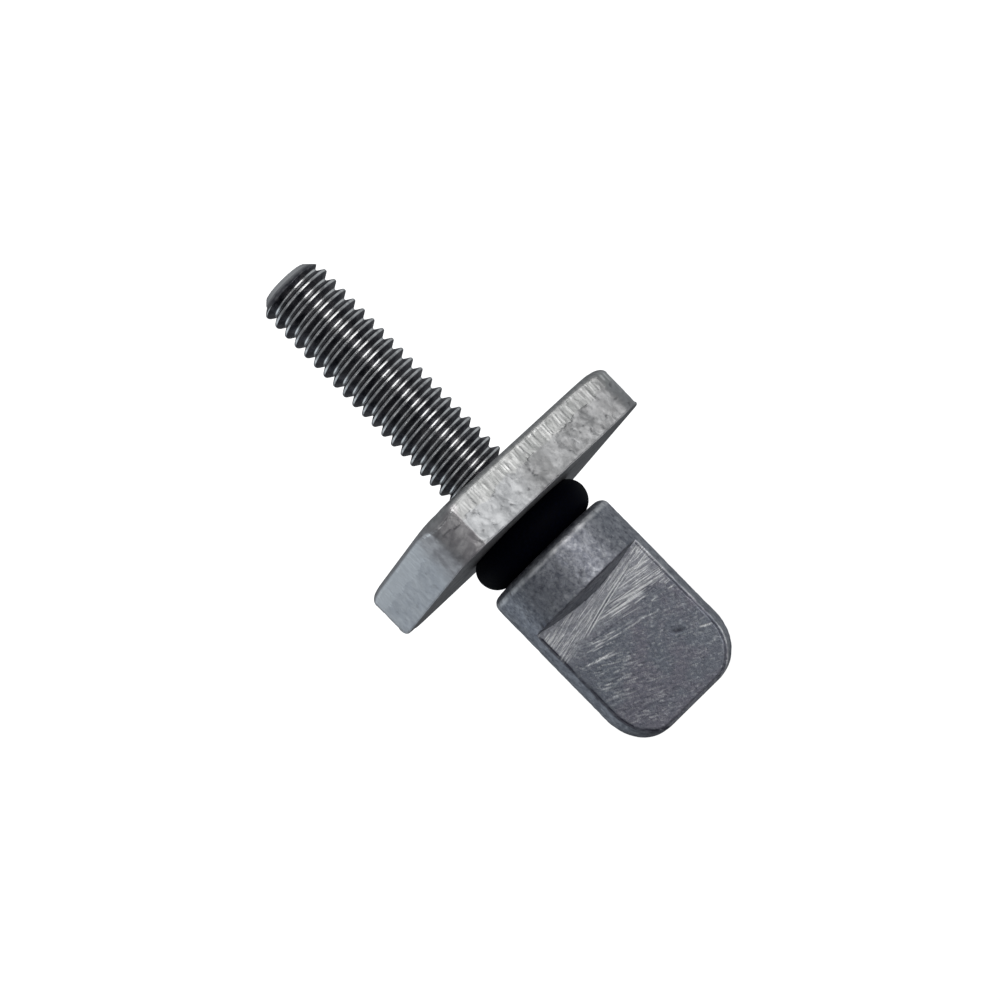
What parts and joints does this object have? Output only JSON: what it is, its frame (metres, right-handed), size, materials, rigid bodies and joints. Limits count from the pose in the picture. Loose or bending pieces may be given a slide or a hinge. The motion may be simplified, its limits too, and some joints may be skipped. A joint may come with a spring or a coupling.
{
  "type": "thumb screw with nut plate",
  "caption": "Tool-less thumb screw: flat-sided paddle head, threaded shank, rubber ring under the head and a square tapped nut plate.",
  "frame": {"origin": "on the screw's axis, in the thread-side face of the square nut plate", "axes": "+Z along the screw towards the head, the threaded shank points to -Z; X and Y are square to the nut plate's sides"},
  "size_m": [0.0132, 0.0132, 0.0296],
  "materials": {
    "cast_head": "cast skin with ground flats",
    "thread": "rolled thread, dark and oily",
    "rubber_ring": "smooth nitrile",
    "plate": "stamped and tumbled"
  },
  "bodies": {
    "plate": {"nut_plate": "plate"},
    "ring": {"o_ring": "rubber_ring"},
    "screw": {"threaded_stud": "thread", "thumb_head": "cast_head"}
  },
  "joints": [
    {"name": "screw_advance", "type": "slide", "parent": "plate", "child": "ring", "axis": [0, 0, 1], "range_m": [0, 0.014]},
    {"name": "screw_turn", "type": "hinge", "parent": "ring", "child": "screw", "pos_m": [0, 0, 0], "axis": [0, 0, 1], "range_deg": [0, 7200]}
  ],
  "couplings": [
    {"joint": "screw_turn", "follows": "screw_advance", "rad_per_m": 8976}
  ]
}
